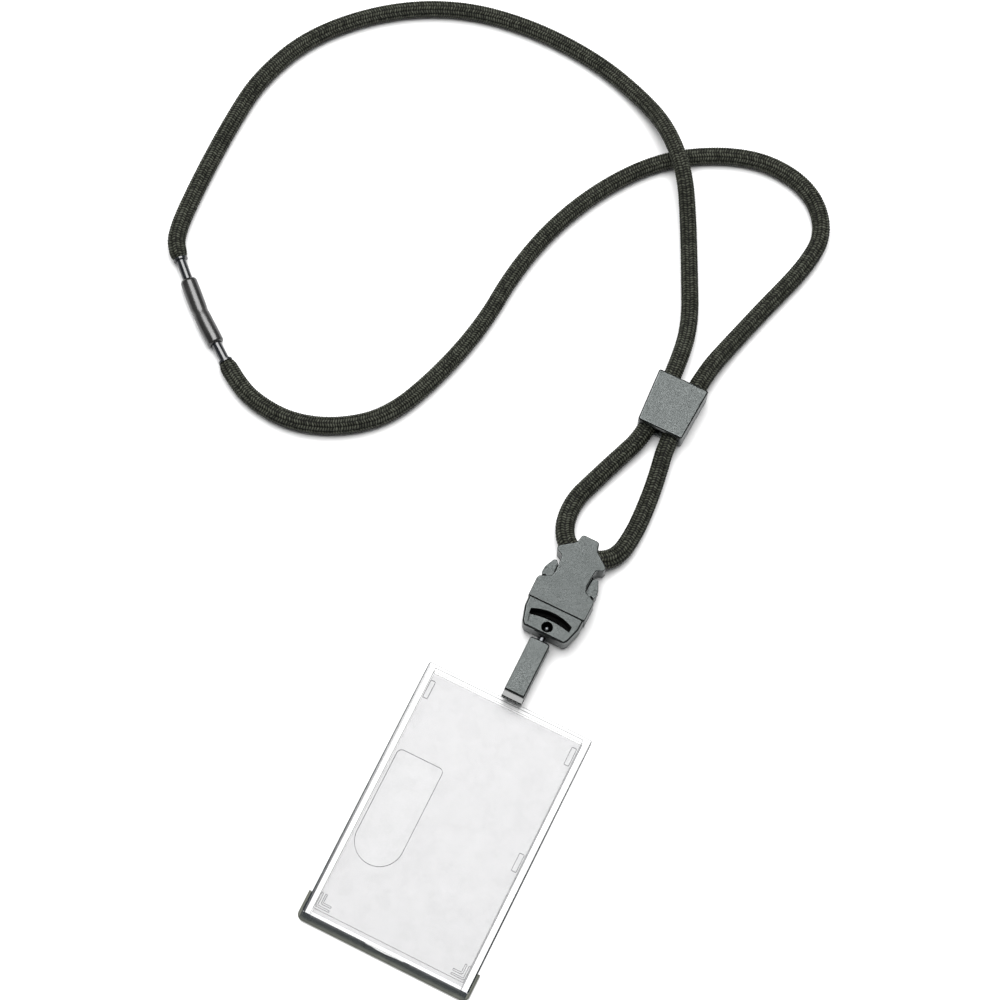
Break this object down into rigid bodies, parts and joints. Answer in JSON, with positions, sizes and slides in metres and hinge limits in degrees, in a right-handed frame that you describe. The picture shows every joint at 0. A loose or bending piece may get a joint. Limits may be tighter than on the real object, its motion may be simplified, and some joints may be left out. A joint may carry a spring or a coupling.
{
  "type": "lanyard badge holder",
  "caption": "Braided neck cord with a breakaway, slider, side-release buckle and swivel link, carrying a clear rigid case for one identity card.",
  "frame": {"origin": "middle of the flat back face of the card case, which lies on the table", "axes": "+Y from the case along the link and the buckle to the neck cord, +Z out of the case's front face, +X across the case"},
  "size_m": [0.2133, 0.3186, 0.0186],
  "materials": {
    "braided_cord": "tight round knitted braid, soft sheen",
    "breakaway_pins": "smooth glossy black",
    "soft_sleeve": "soft vinyl tube, satin",
    "black_moulding": "fine spark-eroded texture, black",
    "steel_pins": "black nickel plate, bright",
    "clear_plastic": "clear moulded, polished rails and a faintly frosted panel",
    "smoky_plastic": "translucent smoke grey"
  },
  "bodies": {
    "neck_loop": {"neck_cord": "braided_cord", "lower_breakaway_pin": "breakaway_pins", "breakaway_sleeve": "soft_sleeve"},
    "upper_pin": {"upper_breakaway_pin": "breakaway_pins"},
    "slider": {"cord_slider": "black_moulding"},
    "socket": {"buckle_socket": "black_moulding"},
    "plug": {"buckle_plug": "black_moulding"},
    "left_latch": {"latch_arm_left": "black_moulding"},
    "right_latch": {"latch_arm_right": "black_moulding"},
    "link": {"swivel_stud": "steel_pins", "swivel_link": "black_moulding", "hinge_pin": "steel_pins"},
    "case": {"case_back": "clear_plastic", "case_front": "clear_plastic"},
    "end_cap": {"case_end_cap": "smoky_plastic"}
  },
  "joints": [
    {"name": "breakaway_pull", "type": "slide", "parent": "neck_loop", "child": "upper_pin", "axis": [-0.7314, 0.682, 0], "range_m": [0, 0.012], "deforming": ["neck_cord"]},
    {"name": "slider_slide", "type": "slide", "parent": "neck_loop", "child": "slider", "axis": [0, 1, 0], "range_m": [-0.006, 0.01]},
    {"name": "buckle_swing", "type": "hinge", "parent": "neck_loop", "child": "socket", "pos_m": [0, 0.1009, 0.0048], "axis": [1, 0, 0], "range_deg": [-25, 25]},
    {"name": "plug_release", "type": "slide", "parent": "socket", "child": "plug", "axis": [0, -1, 0], "range_m": [0, 0.026], "deforming": ["latch_arm_left", "latch_arm_right"]},
    {"name": "left_button", "type": "hinge", "parent": "plug", "child": "left_latch", "pos_m": [-0.00695, 0.083, 0.0048], "axis": [0, 0, -1], "range_deg": [0, 7], "stiffness_Nm_per_rad": 0.05},
    {"name": "right_button", "type": "hinge", "parent": "plug", "child": "right_latch", "pos_m": [0.00695, 0.083, 0.0048], "axis": [0, 0, 1], "range_deg": [0, 7], "stiffness_Nm_per_rad": 0.05},
    {"name": "link_swivel", "type": "hinge", "parent": "plug", "child": "link", "pos_m": [0, 0.0731, 0.0048], "axis": [0, 1, 0], "continuous": true},
    {"name": "case_hinge", "type": "hinge", "parent": "link", "child": "case", "pos_m": [0, 0.0484, 0.0038], "axis": [1, 0, 0], "range_deg": [0, 80]},
    {"name": "cap_slide", "type": "slide", "parent": "case", "child": "end_cap", "axis": [0, -1, 0], "range_m": [0, 0.014]}
  ]
}
